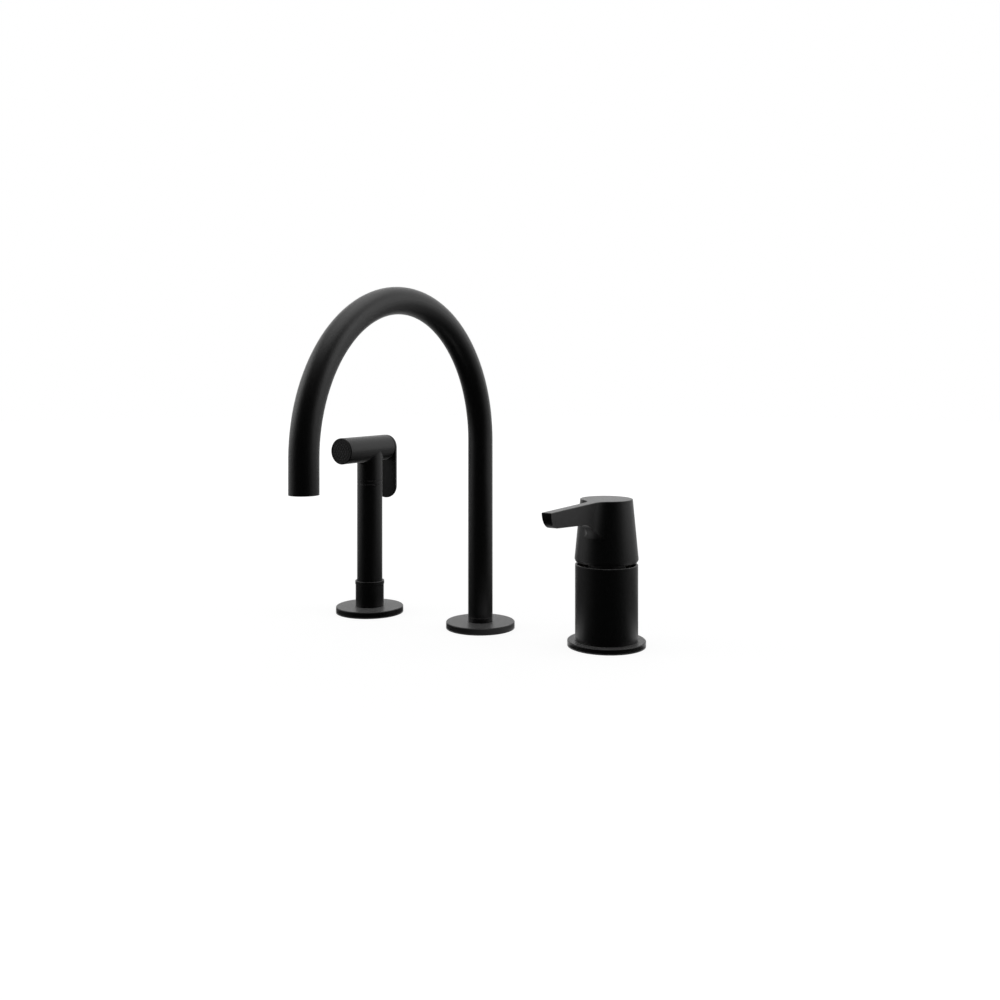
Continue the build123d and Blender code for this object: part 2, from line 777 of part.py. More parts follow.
set_screw_start = square_half + close_gap
set_screw_length = 6.0
set_key_radius = 1.25         # hexagon socket for a 2.5 mm key
set_key_depth = 2.5
with BuildPart() as lever_set_screw:
    with BuildSketch(back_plane(mixer_x, set_screw_start, set_screw_height)):
        Circle(set_screw_radius)
    extrude(amount=set_screw_length)
    with BuildSketch(back_plane(mixer_x, set_screw_start + set_screw_length, set_screw_height)):
        RegularPolygon(set_key_radius, 6, major_radius=False)
    extrude(amount=-set_key_depth, mode=Mode.SUBTRACT)
lever_set_screw.part.label = "lever_set_screw"
export_step(lever_set_screw.part, "parts/lever_set_screw.step")

plug_face = 21.6
plug_length = 3.0
plug_chamfer = 0.2
with BuildPart() as set_screw_plug:
    with BuildSketch(back_plane(mixer_x, plug_face - plug_length, set_screw_height)):
        Circle(set_screw_radius)
    extrude(amount=plug_length)
    chamfer(set_screw_plug.edges().group_by(Axis.Y)[-1], plug_chamfer)
set_screw_plug.part.label = "set_screw_plug"
export_step(set_screw_plug.part, "parts/set_screw_plug.step")

# ---------------------------------------------------------------- spray: holder in the deck
spigot_radius = 11.6
spigot_bottom = -8.0
liner_bore = 9.75
liner_radius = 10.9
liner_bottom = 4.1
liner_top = handle_bottom - free_gap
hose_way = 9.9                # free way for the hose through holder and shank

spray_shank = turned(spray_x, [
    (hose_way, shank_bottom),
    (spray_shank_radius - thread_chamfer, shank_bottom),
    (spray_shank_radius, shank_bottom + thread_chamfer),
    (spray_shank_radius, 0),
    (spray_shank_head, 0),
    (spray_shank_head, head_seat - close_gap),
    (spigot_radius + slip, head_seat - close_gap),
    (spigot_radius + slip, spigot_bottom - slip),
    (hose_way, spigot_bottom - slip),
])
spray_shank.part.label = "spray_shank"
export_step(spray_shank.part, "parts/spray_shank.step")

mouth_radius = handle_radius + end_gap
lip_step = 0.5                # the lip swells out over this height
lip_rounding = 0.5
with BuildPart() as spray_holder:
    with BuildSketch(upright(spray_x)):
        with BuildLine():
            Polyline(
                (hose_way, spigot_bottom),
                (spigot_radius, spigot_bottom),
                (spigot_radius, head_seat),
                (holder_radius, head_seat),
                (holder_radius, holder_lip - lip_step),
                (holder_lip_radius, holder_lip),
                (holder_lip_radius, holder_top),
                (mouth_radius, holder_top),
                (mouth_radius, liner_top),
                (liner_radius + slip, liner_top),
                (liner_radius + slip, liner_bottom - slip),
                (hose_way, liner_bottom - slip),
                close=True,
            )
        make_face()
    revolve(axis=Axis((spray_x, 0, 0), (0, 0, 1)))
    lip_edges = spray_holder.edges().group_by(Axis.Z)[-1]
    fillet(lip_edges, lip_rounding)
spray_holder.part.label = "spray_holder"
export_step(spray_holder.part, "parts/spray_holder.step")

holder_liner = washer(spray_x, liner_radius, liner_bore, liner_bottom, liner_top)
holder_liner.part.label = "holder_liner"
export_step(holder_liner.part, "parts/holder_liner.step")

# ---------------------------------------------------------------- spray: handset
tail_radius = 9.5
tail_bore = 5.0
tail_top = 38.0
inlet_top = 6.0
inlet_chamfer = 0.6

handle_tail = turned(spray_x, [
    (tail_bore, inlet_bottom),
    (inlet_radius - inlet_chamfer, inlet_bottom),
    (inlet_radius, inlet_bottom + inlet_chamfer),
    (inlet_radius, inlet_top),
    (tail_radius, inlet_top),
    (tail_radius, handle_bottom),
    (handle_bore - slip, handle_bottom),
    (handle_bore - slip, tail_top),
    (tail_bore, tail_top),
])
handle_tail.part.label = "handle_tail"
export_step(handle_tail.part, "parts/handle_tail.step")

check_bottom = -4.0
check_length = 12.0
check_bore = 3.6
web_bottom = 1.0
web_top = 2.4
web_span = 8.0
web_width = 1.0
web_hub_radius = 1.2
flap_rod_radius = 1.0
flap_bottom = 5.4
flap_radius = 2.8
flap_thickness = 1.2
with BuildPart() as check_valve:
    with BuildSketch(level(spray_x, check_bottom)):
        Circle(tail_bore - slip)
        Circle(check_bore, mode=Mode.SUBTRACT)
    extrude(amount=check_length)
    with BuildSketch(level(spray_x, web_bottom)):
        Rectangle(web_span, web_width)
        Rectangle(web_width, web_span)
        Circle(web_hub_radius)
    extrude(amount=web_top - web_bottom)
    with BuildSketch(level(spray_x, web_top)):
        Circle(flap_rod_radius)
    extrude(amount=flap_bottom - web_top)
    with BuildSketch(level(spray_x, flap_bottom)):
        Circle(flap_radius)
    extrude(amount=flap_thickness)
check_valve.part.label = "check_valve"
export_step(check_valve.part, "parts/check_valve.step")

seam_chamfer = 0.25
with BuildPart() as handle_tube:
    with BuildSketch(level(spray_x, handle_bottom)):
        Circle(handle_radius)
        Circle(handle_bore, mode=Mode.SUBTRACT)
    extrude(amount=ring_bottom - close_gap - handle_bottom)
    chamfer(handle_tube.edges().group_by(Axis.Z)[-1].sort_by(SortBy.RADIUS)[-1], seam_chamfer)
handle_tube.part.label = "handle_tube"
export_step(handle_tube.part, "parts/handle_tube.step")

with BuildPart() as handle_ring:
    with BuildSketch(level(spray_x, ring_bottom)):
        Circle(handle_radius)
        Circle(handle_bore, mode=Mode.SUBTRACT)
    extrude(amount=ring_top - ring_bottom)
    chamfer(handle_ring.edges().group_by(Axis.Z)[0].sort_by(SortBy.RADIUS)[-1], seam_chamfer)
    chamfer(handle_ring.edges().group_by(Axis.Z)[-1].sort_by(SortBy.RADIUS)[-1], seam_chamfer)
handle_ring.part.label = "handle_ring"
export_step(handle_ring.part, "parts/handle_ring.step")

inner_tube_radius = 5.5
inner_tube_bore = 4.0
inner_tube_top = 128.0
inner_tube = washer(
    spray_x, inner_tube_radius, inner_tube_bore, tail_top + free_gap, inner_tube_top)
inner_tube.part.label = "inner_tube"
export_step(inner_tube.part, "parts/inner_tube.step")

neck_bottom = ring_top + close_gap
neck_bore = 5.6
neck_fillet = 2.0
spigot_length = 10.0
relief_depth = 1.0            # lower back edge of the head, cleared for the trigger
relief_bottom = head_height - head_radius - 3
with BuildPart() as spray_head:
    with BuildSketch(facing(spray_x, head_front, head_height)):
        Circle(head_radius)
    extrude(amount=-(head_back - head_front))
    with BuildSketch(level(spray_x, neck_bottom)):
        Circle(handle_radius)
    extrude(amount=head_height - neck_bottom)
    neck_edges = [
        edge
        for edge in spray_head.edges()
        if head_height - 12 < edge.center().Z < head_height - 0.5
        and abs(edge.center().X - spray_x) < 11
        and abs(edge.center().Y) < 10.5
    ]
    fillet(neck_edges, neck_fillet)
    with BuildSketch(level(spray_x, neck_bottom)):
        Circle(handle_bore - slip)
    extrude(amount=-spigot_length)
    with BuildSketch(level(spray_x, neck_bottom - spigot_length)):
        Circle(neck_bore)
    extrude(amount=head_height - neck_bottom + spigot_length, mode=Mode.SUBTRACT)
    with BuildSketch(facing(spray_x, head_front, head_height)):
        Circle(head_bore)
    extrude(amount=-(head_back - head_front), mode=Mode.SUBTRACT)
    with BuildSketch(Plane(origin=(spray_x - 20, 0, 0), x_dir=(0, 1, 0), z_dir=(1, 0, 0))):
        with BuildLine():
            Polyline(
                (head_back + 1, pivot_height),
                (head_back, pivot_height),
                (head_back - relief_depth, head_height - head_radius),
                (head_back - relief_depth, relief_bottom),
                (head_back + 1, relief_bottom),
                close=True,
            )
        make_face()
    extrude(amount=40, mode=Mode.SUBTRACT)
spray_head.part.label = "spray_head"
export_step(spray_head.part, "parts/spray_head.step")

# ---------------------------------------------------------------- spray: face and nozzles
nozzle_places = [(0.0, 0.0)]
for count, circle in ((6, 2.3), (12, 4.7), (18, 7.1)):
    for step in range(count):
        angle = 2 * pi * step / count
        nozzle_places.append((circle * cos(angle), circle * sin(angle)))
nozzle_radius = 0.6
thread_radius = head_bore - slip
ring_bore = 9.9
face_inset = 0.3
face_back = -37.35
ring_shoulder = -37.3
plate_front = -33.9
plate_back = -32.4
ring_back = -30.0
ring_land = 8.6               # the ring's inner shoulder, which the face sits on
face_chamfer = 0.5
face_plug_radius = 8.5
nozzle_mat_radius = 8.4

face_ring = turned_across([
    (ring_bore, face_front),
    (head_radius - face_chamfer, face_front),
    (head_radius, face_front + face_chamfer),
    (head_radius, head_front - close_gap),
    (thread_radius, head_front - close_gap),
    (thread_radius, ring_back),
    (ring_land, ring_back),
    (ring_land, ring_shoulder),
    (ring_bore, ring_shoulder),
])
face_ring.part.label = "face_ring"
export_step(face_ring.part, "parts/face_ring.step")

with BuildPart() as spray_face:
    with BuildSketch(facing(spray_x, face_back, head_height)):
        Circle(ring_bore - close_gap)
    extrude(amount=face_back - face_front - face_inset)
    with BuildSketch(facing(spray_x, face_back, head_height)):
        Circle(face_plug_radius)
    extrude(amount=face_back - plate_front)
    with BuildSketch(facing(spray_x, plate_front, head_height)):
        with Locations(*nozzle_places):
            Circle(nozzle_radius + close_gap)
    extrude(amount=plate_front - face_front, mode=Mode.SUBTRACT)
spray_face.part.label = "spray_face"
export_step(spray_face.part, "parts/spray_face.step")

with BuildPart() as spray_nozzles:
    with BuildSketch(facing(spray_x, plate_back, head_height)):
        Circle(nozzle_mat_radius)
    extrude(amount=plate_back - plate_front)
    with BuildSketch(facing(spray_x, plate_front, head_height)):
        with Locations(*nozzle_places):
            Circle(nozzle_radius)
    extrude(amount=plate_front - face_front)
    with BuildSketch(facing(spray_x, plate_back, head_height)):
        with Locations(*nozzle_places):
            Circle(nozzle_radius / 2)
    extrude(amount=plate_back - face_front, mode=Mode.SUBTRACT)
spray_nozzles.part.label = "spray_nozzles"
export_step(spray_nozzles.part, "parts/spray_nozzles.step")

face_seal_inner = 7.8
face_seal_front = ring_back + close_gap
face_seal_back = -28.4
face_seal = turned_across([
    (face_seal_inner, face_seal_front),
    (thread_radius - close_gap, face_seal_front),
    (thread_radius - close_gap, face_seal_back),
    (face_seal_inner, face_seal_back),
])
face_seal.part.label = "face_seal"
export_step(face_seal.part, "parts/face_seal.step")

# ---------------------------------------------------------------- spray: valve
seat_front = -12.0
seat_back = -8.0
seal_back = -6.9
flange_back = -5.4
bracket_front = 12.0
bracket_back = 15.5
ball_depth = 20.4
ball_radius = 2.0
seat_hole = 3.2
valve_seal_front = seat_back + close_gap
valve_seal_radius = 4.6
stem_flange_radius = 4.8

valve_seat = turned_across([
    (seat_hole, seat_front),
    (thread_radius, seat_front),
    (thread_radius, seat_back),
    (seat_hole, seat_back),
])
valve_seat.part.label = "valve_seat"
export_step(valve_seat.part, "parts/valve_seat.step")

valve_seal = turned_across([
    (valve_stem_radius + slip, valve_seal_front),
    (valve_seal_radius, valve_seal_front),
    (valve_seal_radius, seal_back),
    (valve_stem_radius + slip, seal_back),
])
valve_seal.part.label = "valve_seal"
export_step(valve_seal.part, "parts/valve_seal.step")

with BuildPart() as valve_stem:
    with BuildSketch(facing(spray_x, ball_depth, head_height)):
        Circle(valve_stem_radius)
    extrude(amount=ball_depth - valve_seal_front)
    with BuildSketch(facing(spray_x, flange_back, head_height)):
        Circle(stem_flange_radius)
    extrude(amount=flange_back - seal_back)
    with Locations((spray_x, ball_depth, head_height)):
        Sphere(ball_radius)
valve_stem.part.label = "valve_stem"
export_step(valve_stem.part, "parts/valve_stem.step")

spring_radius = 3.6
spring_wire = 0.8
spring_length = bracket_front - flange_back - spring_wire - free_gap
spring_turns = 7
with BuildPart() as stem_spring:
    with BuildLine() as spring_path:
        Helix(
            pitch=spring_length / spring_turns,
            height=spring_length,
            radius=spring_radius,
            center=(spray_x, flange_back + spring_wire / 2 + close_gap, head_height),
            direction=(0, 1, 0),
        )
    with BuildSketch(Plane(origin=spring_path.line @ 0, z_dir=spring_path.line % 0)):
        Circle(spring_wire / 2)
    sweep(is_frenet=True)
stem_spring.part.label = "stem_spring"
export_step(stem_spring.part, "parts/stem_spring.step")

# ---------------------------------------------------------------- spray: trigger
ear_inner = 4.1
ear_outer = 5.6
lug_inner = 2.3
lug_outer = 3.9
ear_half_height = 1.8
pivot_plane = Plane(origin=(spray_x - ear_outer, pivot_depth, pivot_height),
                    x_dir=(0, 1, 0), z_dir=(1, 0, 0))

with BuildPart() as trigger_bracket:
    with BuildSketch(facing(spray_x, bracket_back, head_height)):
        Circle(thread_radius)
        Circle(valve_stem_radius + turning_gap, mode=Mode.SUBTRACT)
    extrude(amount=bracket_back - bracket_front)
    for side in (-1, 1):
        ear_centre = spray_x + side * (ear_inner + ear_outer) / 2
        with BuildSketch(Plane(origin=(ear_centre, bracket_back, pivot_height),
                               x_dir=(1, 0, 0), z_dir=(0, 1, 0))):
            Rectangle(ear_outer - ear_inner, 2 * ear_half_height)
        extrude(amount=pivot_depth + ear_half_height - bracket_back)
    with BuildSketch(pivot_plane):
        Circle(pivot_radius + pin_fit)
    extrude(amount=2 * ear_outer, mode=Mode.SUBTRACT)
trigger_bracket.part.label = "trigger_bracket"
export_step(trigger_bracket.part, "parts/trigger_bracket.step")

with BuildPart() as trigger_pin:
    with BuildSketch(pivot_plane):
        Circle(pivot_radius)
    extrude(amount=2 * ear_outer)
trigger_pin.part.label = "trigger_pin"
export_step(trigger_pin.part, "parts/trigger_pin.step")

yoke_front = 17.4
yoke_back = 18.8
yoke_hole_radius = 1.75       # smaller than the ball, wide enough to tilt round the stem
lug_top = 144.0
lug_bottom = 134.0
lug_front = 17.0
lower_centre = trigger_bottom + trigger_radius
plate_rounding = 0.8
plate_front_rounding = 0.4
with BuildPart() as trigger_plate:
    with BuildSketch(facing(spray_x, trigger_back, head_height)):
        Circle(trigger_radius)
        with Locations((0, lower_centre - head_height)):
            Circle(trigger_radius)
        with Locations((0, (lower_centre - head_height) / 2)):
            Rectangle(2 * trigger_radius, head_height - lower_centre)
    extrude(amount=trigger_back - trigger_front)
    fillet(trigger_plate.edges().group_by(Axis.Y)[-1], plate_rounding)
    fillet(trigger_plate.edges().group_by(Axis.Y)[0], plate_front_rounding)
    for side in (-1, 1):
        lug_centre = spray_x + side * (lug_inner + lug_outer) / 2
        with BuildSketch(facing(lug_centre, trigger_front, (lug_top + lug_bottom) / 2)):
            Rectangle(lug_outer - lug_inner, lug_top - lug_bottom)
        extrude(amount=trigger_front - lug_front)
    with BuildSketch(facing(spray_x, yoke_back, head_height)):
        Rectangle(2 * lug_outer, 2 * (lug_top - head_height))
        Circle(yoke_hole_radius, mode=Mode.SUBTRACT)
    extrude(amount=yoke_back - yoke_front)
    with BuildSketch(pivot_plane):
        Circle(pivot_radius + pin_play)
    extrude(amount=2 * ear_outer, mode=Mode.SUBTRACT)
trigger_plate.part.label = "trigger_plate"
export_step(trigger_plate.part, "parts/trigger_plate.step")
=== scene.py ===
import json
import math

import bmesh
import bpy
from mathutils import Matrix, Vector

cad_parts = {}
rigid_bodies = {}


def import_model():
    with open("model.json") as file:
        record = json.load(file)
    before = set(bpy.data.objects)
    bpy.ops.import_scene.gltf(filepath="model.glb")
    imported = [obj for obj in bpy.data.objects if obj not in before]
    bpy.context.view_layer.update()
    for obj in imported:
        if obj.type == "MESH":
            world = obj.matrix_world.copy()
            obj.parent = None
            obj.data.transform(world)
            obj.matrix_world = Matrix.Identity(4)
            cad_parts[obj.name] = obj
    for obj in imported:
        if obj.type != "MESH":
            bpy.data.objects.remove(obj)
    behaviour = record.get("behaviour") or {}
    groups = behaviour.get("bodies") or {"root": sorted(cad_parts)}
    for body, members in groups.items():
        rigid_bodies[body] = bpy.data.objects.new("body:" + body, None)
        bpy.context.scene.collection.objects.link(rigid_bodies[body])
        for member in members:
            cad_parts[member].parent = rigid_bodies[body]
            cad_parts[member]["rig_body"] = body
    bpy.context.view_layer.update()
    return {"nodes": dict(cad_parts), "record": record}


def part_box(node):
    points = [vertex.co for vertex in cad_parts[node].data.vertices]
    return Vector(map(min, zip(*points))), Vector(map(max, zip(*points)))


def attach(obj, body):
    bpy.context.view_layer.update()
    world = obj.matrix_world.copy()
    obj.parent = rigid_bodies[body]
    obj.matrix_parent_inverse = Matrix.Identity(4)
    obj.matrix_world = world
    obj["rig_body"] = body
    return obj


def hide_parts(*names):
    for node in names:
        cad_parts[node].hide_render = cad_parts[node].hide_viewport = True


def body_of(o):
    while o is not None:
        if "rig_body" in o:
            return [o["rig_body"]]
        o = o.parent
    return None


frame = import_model()
nodes = frame["nodes"]
scene = bpy.context.scene
print("frame loaded,", len(nodes), "nodes")


# shader maths written as plain expressions: a Wave wraps one output socket
class Wave:
    def __init__(self, tree, socket):
        self.tree = tree
        self.socket = socket

    def combine(self, operation, first, second=None):
        maths = self.tree.nodes.new("ShaderNodeMath")
        maths.operation = operation
        for slot, value in zip(maths.inputs, (first, second)):
            if isinstance(value, Wave):
                self.tree.links.new(value.socket, slot)
            elif value is not None:
                slot.default_value = value
        return Wave(self.tree, maths.outputs[0])

    def __add__(self, other):
        return self.combine("ADD", self, other)

    def __radd__(self, other):
        return self.combine("ADD", other, self)

    def __sub__(self, other):
        return self.combine("SUBTRACT", self, other)

    def __rsub__(self, other):
        return self.combine("SUBTRACT", other, self)

    def __mul__(self, other):
        return self.combine("MULTIPLY", self, other)

    def __rmul__(self, other):
        return self.combine("MULTIPLY", other, self)

    def largest(self, other):
        return self.combine("MAXIMUM", self, other)

    def angleFrom(self, other):
        return self.combine("ARCTAN2", self, other)

    def size(self):
        return self.combine("ABSOLUTE", self)


# a material or world whose nodes all come from one method
class Finish:
    def __init__(self, owner):
        self.owner = owner
        owner.use_nodes = True
        self.tree = owner.node_tree
        self.tree.nodes.clear()

    def node(self, kind, settings=None, values=None, output=0):
        made = self.tree.nodes.new(kind)
        for name, value in (settings or {}).items():
            setattr(made, name, value)
        for slot, value in (values or {}).items():
            if isinstance(value, Wave):
                self.tree.links.new(value.socket, made.inputs[slot])
            else:
                made.inputs[slot].default_value = value
        return Wave(self.tree, made.outputs[output]) if len(made.outputs) else made

    def place(self, shift=(0, 0, 0), stretch=(1, 1, 1)):
        objectPlace = self.node("ShaderNodeTexCoord", output=3)
        return self.node(
            "ShaderNodeMapping",
            values={"Vector": objectPlace, "Location": shift, "Scale": stretch},
        )

    def noise(self, place, scale, detail, roughness=0.5):
        return self.node(
            "ShaderNodeTexNoise",
            values={"Vector": place, "Scale": scale, "Detail": detail, "Roughness": roughness},
        )

    def blend(self, factor, first, second):
        return self.node(
            "ShaderNodeMix",
            settings={"data_type": "RGBA"},
            values={0: factor, 6: first, 7: second},
            output=2,
        )

    def bump(self, height, distance, normal=None):
        values = {"Height": height, "Distance": distance}
        if normal is not None:
            values["Normal"] = normal
        return self.node("ShaderNodeBump", values=values)

    def distance(self, place):
        return self.node("ShaderNodeVectorMath", {"operation": "LENGTH"}, {0: place}, output=1)

    def along(self, place, way):
        return self.node("ShaderNodeVectorMath", {"operation": "DOT_PRODUCT"}, {0: place, 1: way}, output=1)

    def smooth(self, value, start, end, before, after):
        return self.node(
            "ShaderNodeMapRange",
            settings={"interpolation_type": "SMOOTHSTEP"},
            values={0: value, 1: start, 2: end, 3: before, 4: after},
        )

    def mix(self, factor, first, second):
        return self.node("ShaderNodeMixShader", values={0: factor, 1: first, 2: second})

    def surface(self, shader, output="ShaderNodeOutputMaterial"):
        self.node(output, values={"Surface": shader})
        return self.owner

    # 1 where the camera, a gloss or a clear part looks, 0 for the light that falls on things
    def looking(self):
        camera, gloss, clear = [self.node("ShaderNodeLightPath", output=number) for number in (0, 3, 6)]
        return camera.largest(gloss).largest(clear)


def newFinish(name):
    return Finish(bpy.data.materials.new(name))


view = {
    "eye": (0.4677, -0.7526, 0.20964),
    "ahead": (-0.5124, 0.8587, 0.0),
    "lens": 39.13,
    "filmWidth": 36.0,
    "shiftUp": -0.1299,
    "nearest": 0.01,
}
cameraData = bpy.data.cameras.new("camera")
cameraData.lens = view["lens"]
cameraData.sensor_width = view["filmWidth"]
cameraData.shift_y = view["shiftUp"]
cameraData.clip_start = view["nearest"]
camera = bpy.data.objects.new("camera", cameraData)
camera.location = view["eye"]
camera.rotation_euler = Vector(view["ahead"]).to_track_quat("-Z", "Y").to_euler()
scene.collection.objects.link(camera)
scene.camera = camera
scene.view_settings.view_transform = "Standard"
print("camera stands")


powder = {
    "colour": (0.0012, 0.0012, 0.0013, 1),
    "paleColour": (0.003, 0.003, 0.0032, 1),
    "roughness": 0.38,
    "roughnessSpread": 0.3,
    "speckleSize": 0.0009,
    "speckleDetail": 3.0,
    "speckleRoughness": 0.6,
    "speckleDepth": 0.00012,
    "peelSize": 0.004,
    "peelDetail": 2.0,
    "peelDepth": 0.00002,
    "shine": 0.35,
    "haze": 0.6,  # the dust-like sheen of a matt coat at a glancing view
    "hazeSpread": 0.25,
}


def blackCoat():
    coat = newFinish("blackPowderCoat")
    place = coat.place()
    speckle = coat.noise(
        place, 1 / powder["speckleSize"], powder["speckleDetail"], powder["speckleRoughness"]
    )
    peel = coat.noise(place, 1 / powder["peelSize"], powder["peelDetail"])
    grain = coat.bump(speckle, powder["speckleDepth"])
    return coat.surface(coat.node("ShaderNodeBsdfPrincipled", values={
        "Base Color": coat.blend(speckle, powder["colour"], powder["paleColour"]),
        "Roughness": powder["roughness"] + (speckle - 0.5) * powder["roughnessSpread"],
        "Normal": coat.bump(peel, powder["peelDepth"], grain),
        "Specular IOR Level": powder["shine"],
        "Sheen Weight": powder["haze"],
        "Sheen Roughness": powder["hazeSpread"],
    }))


# stretch draws the turning marks out along the direction of the tool
metal = {
    "cloudScale": 90.0,
    "cloudDetail": 4.0,
    "cloudSpread": 0.12,
    "turningPitch": 0.00035,
    "turningDetail": 2.0,
    "turningDepth": 0.000012,
    "turningSpread": 0.18,
    "turnedBrass": {
        "dark": (0.42, 0.27, 0.11, 1),
        "pale": (0.62, 0.43, 0.19, 1),
        "roughness": 0.32,
        "stretch": (0.04, 0.04, 1),
    },
    "groundSteel": {
        "dark": (0.46, 0.46, 0.47, 1),
        "pale": (0.58, 0.58, 0.59, 1),
        "roughness": 0.3,
        "stretch": (1, 0.05, 1),
    },
}


def machined(name):
    stock = metal[name]
    made = newFinish(name)
    cloud = made.noise(made.place(), metal["cloudScale"], metal["cloudDetail"])
    marks = made.noise(
        made.place(stretch=stock["stretch"]), 1 / metal["turningPitch"], metal["turningDetail"]
    )
    rough = stock["roughness"] + (marks - 0.5) * metal["turningSpread"]
    return made.surface(made.node("ShaderNodeBsdfPrincipled", values={
        "Base Color": made.blend(cloud, stock["dark"], stock["pale"]),
        "Metallic": 1.0,
        "Roughness": rough + (cloud - 0.5) * metal["cloudSpread"],
        "Normal": made.bump(marks, metal["turningDepth"]),
    }))


moulded = {
    "flowScale": 60.0,
    "flowDetail": 2.0,
    "grainDetail": 3.0,
    "grainSpread": 0.15,
    "sealRubber": {
        "dark": (0.018, 0.018, 0.018, 1),
        "pale": (0.034, 0.034, 0.034, 1),
        "roughness": 0.7,
        "grainSize": 0.0012,
        "grainDepth": 0.00005,
    },
    "nozzleRubber": {
        "dark": (0.020, 0.020, 0.021, 1),
        "pale": (0.034, 0.034, 0.035, 1),
        "roughness": 0.6,
        "grainSize": 0.0008,
        "grainDepth": 0.00002,
    },
    "palePlastic": {
        "dark": (0.66, 0.66, 0.62, 1),
        "pale": (0.74, 0.74, 0.71, 1),
        "roughness": 0.42,
        "grainSize": 0.0016,
        "grainDepth": 0.00002,
    },
    "blackPlastic": {
        "dark": (0.014, 0.014, 0.014, 1),
        "pale": (0.026, 0.026, 0.026, 1),
        "roughness": 0.5,
        "grainSize": 0.001,
        "grainDepth": 0.00003,
    },
    "ceramic": {
        "dark": (0.78, 0.77, 0.72, 1),
        "pale": (0.86, 0.85, 0.81, 1),
        "roughness": 0.16,
        "grainSize": 0.0006,
        "grainDepth": 0.000004,
    },
}


def mouldedFinish(name):
    stock = moulded[name]
    made = newFinish(name)
    place = made.place()
    grain = made.noise(place, 1 / stock["grainSize"], moulded["grainDetail"])
    flow = made.noise(place, moulded["flowScale"], moulded["flowDetail"])
    return made.surface(made.node("ShaderNodeBsdfPrincipled", values={
        "Base Color": made.blend(flow, stock["dark"], stock["pale"]),
        "Roughness": stock["roughness"] + (grain - 0.5) * moulded["grainSpread"],
        "Normal": made.bump(grain, stock["grainDepth"]),
    }))


finishes = {
    "black_coat": blackCoat(),
    "brass": machined("turnedBrass"),
    "steel": machined("groundSteel"),
    "seal_rubber": mouldedFinish("sealRubber"),
    "nozzle_rubber": mouldedFinish("nozzleRubber"),
    "pale_plastic": mouldedFinish("palePlastic"),
    "black_plastic": mouldedFinish("blackPlastic"),
    "ceramic": mouldedFinish("ceramic"),
}
slotOfNode = {part["node"]: part["material_slot"] for part in frame["record"]["subparts"]}
for name, piece in nodes.items():
    piece.data.materials.clear()
    piece.data.materials.append(finishes[slotOfNode[name]])
print("finishes on", len(nodes), "nodes")


# the outside threads, cut into copies of the plain shanks
thread = {
    "pitch": 0.0015,
    "depth": 0.0007,
    "rootEnds": 0.27,  # where the flanks and the crest lie, in shares of one pitch
    "crestStarts": 0.53,
    "crestEnds": 0.73,
    "overrun": 1.3,  # pitches that the strip starts below its lower end, before it is trimmed
    "stepsPerTurn": 60,
    "lead": 0.0004,  # height of the cone that closes the thread at either end
    "mergeWithin": 0.00002,
    "sharpEdge": 30.0,
    "shanks": {  # crest radius, lower end, upper end
        "spout_shank": (0.011, -0.049, -0.001),
        "mixer_shank": (0.016, -0.049, -0.001),
        "spray_shank": (0.0135, -0.049, -0.001),
    },
}


def everything(shape):
    return shape.verts[:] + shape.edges[:] + shape.faces[:]


def openEdges(shape, height):
    near = thread["lead"] / 4
    return [
        edge for edge in shape.edges
        if edge.is_boundary and all(abs(corner.co.z - height) < near for corner in edge.verts)
    ]


def threadStrip(axis, radius, low, high):
    pitch = thread["pitch"]
    root = radius - thread["depth"]
    turns = math.ceil((high - low) / pitch) + 2
    steps = thread["stepsPerTurn"]
    foot = low - thread["overrun"] * pitch
    outline = (
        (root, 0.0),
        (root, thread["rootEnds"]),
        (radius, thread["crestStarts"]),
        (radius, thread["crestEnds"]),
        (root, 1.0),
    )
    strip = bmesh.new()
    corners = [strip.verts.new((axis.x + out, axis.y, foot + up * pitch)) for out, up in outline]
    for first, second in zip(corners, corners[1:]):
        strip.edges.new((first, second))
    bmesh.ops.spin(
        strip, geom=strip.verts[:] + strip.edges[:], cent=axis, axis=(0, 0, 1),
        dvec=(0, 0, pitch / steps), angle=math.tau, steps=steps,
    )
    oneTurn = everything(strip)
    for number in range(1, turns):
        copied = bmesh.ops.duplicate(strip, geom=oneTurn)["geom"]
        corners = [item for item in copied if isinstance(item, bmesh.types.BMVert)]
        bmesh.ops.translate(strip, verts=corners, vec=(0, 0, number * pitch))
    bmesh.ops.remove_doubles(strip, verts=strip.verts[:], dist=thread["mergeWithin"])
    for height, above in ((low + thread["lead"], False), (high - thread["lead"], True)):
        bmesh.ops.bisect_plane(
            strip, geom=everything(strip), plane_co=(0, 0, height), plane_no=(0, 0, 1),
            clear_outer=above, clear_inner=not above,
        )
    return strip


def finishedPiece(name, shape, node):
    for edge in shape.edges:
        edge.smooth = edge.calc_face_angle(0.0) < math.radians(thread["sharpEdge"])
    for face in shape.faces:
        face.smooth = True
    mesh = bpy.data.meshes.new(name)
    shape.to_mesh(mesh)
    shape.free()
    mesh.materials.append(finishes[slotOfNode[node]])
    piece = bpy.data.objects.new(name, mesh)
    scene.collection.objects.link(piece)
    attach(piece, body_of(nodes[node])[0])
    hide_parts(node)
    return piece


